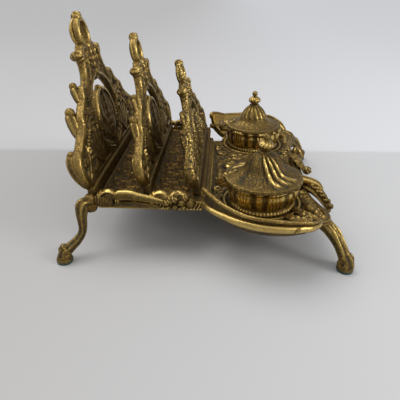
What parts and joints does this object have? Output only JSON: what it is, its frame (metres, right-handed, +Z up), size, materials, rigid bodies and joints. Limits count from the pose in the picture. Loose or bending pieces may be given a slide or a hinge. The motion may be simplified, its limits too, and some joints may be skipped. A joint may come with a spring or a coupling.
{
  "type": "desk inkstand",
  "caption": "Cast brass desk inkstand with a tiered letter rack of pierced scroll panels, a dished tray with lidded ink wells, and scroll legs.",
  "frame": {"origin": "on the table, midway between the four feet", "axes": "+X to the right along the rack's panels, +Y towards the tallest panel at the back, +Z up; the wells are on the -Y side"},
  "size_m": [0.242, 0.2194, 0.1645],
  "materials": {
    "brass": "aged cast brass, polished on the high edges and dark in the hollows",
    "dark_brass": "brass with a dark brown patina",
    "felt": "green felt",
    "liner": "clear pressed glass"
  },
  "bodies": {
    "stand": {"rack_floor": "dark_brass", "rack_rail_left": "brass", "rack_rail_right": "brass", "back_panel": "brass", "middle_panel": "brass", "front_panel": "brass", "panel_screws": "dark_brass", "ink_tray": "brass", "front_spray": "brass", "spray_rivets": "dark_brass", "leg_back_left": "brass", "leg_back_right": "brass", "leg_front_left": "brass", "leg_front_right": "brass", "felt_pad_back_left": "felt", "felt_pad_back_right": "felt", "felt_pad_front_left": "felt", "felt_pad_front_right": "felt", "leg_nuts": "brass", "well_left": "brass", "well_right": "brass", "well_screws": "dark_brass", "liner_left": "liner", "liner_right": "liner", "hinge_pin_left": "dark_brass", "hinge_pin_right": "dark_brass"},
    "lid_left": {"lid_left": "brass", "finial_left": "brass"},
    "lid_right": {"lid_right": "brass", "finial_right": "brass"}
  },
  "joints": [
    {"name": "left_lid_hinge", "type": "hinge", "parent": "stand", "child": "lid_left", "pos_m": [-0.0628, -0.0116, 0.0542], "axis": [-1, 0, 0], "range_deg": [0, 90]},
    {"name": "right_lid_hinge", "type": "hinge", "parent": "stand", "child": "lid_right", "pos_m": [0.0628, -0.0116, 0.0542], "axis": [-1, 0, 0], "range_deg": [0, 90]}
  ]
}
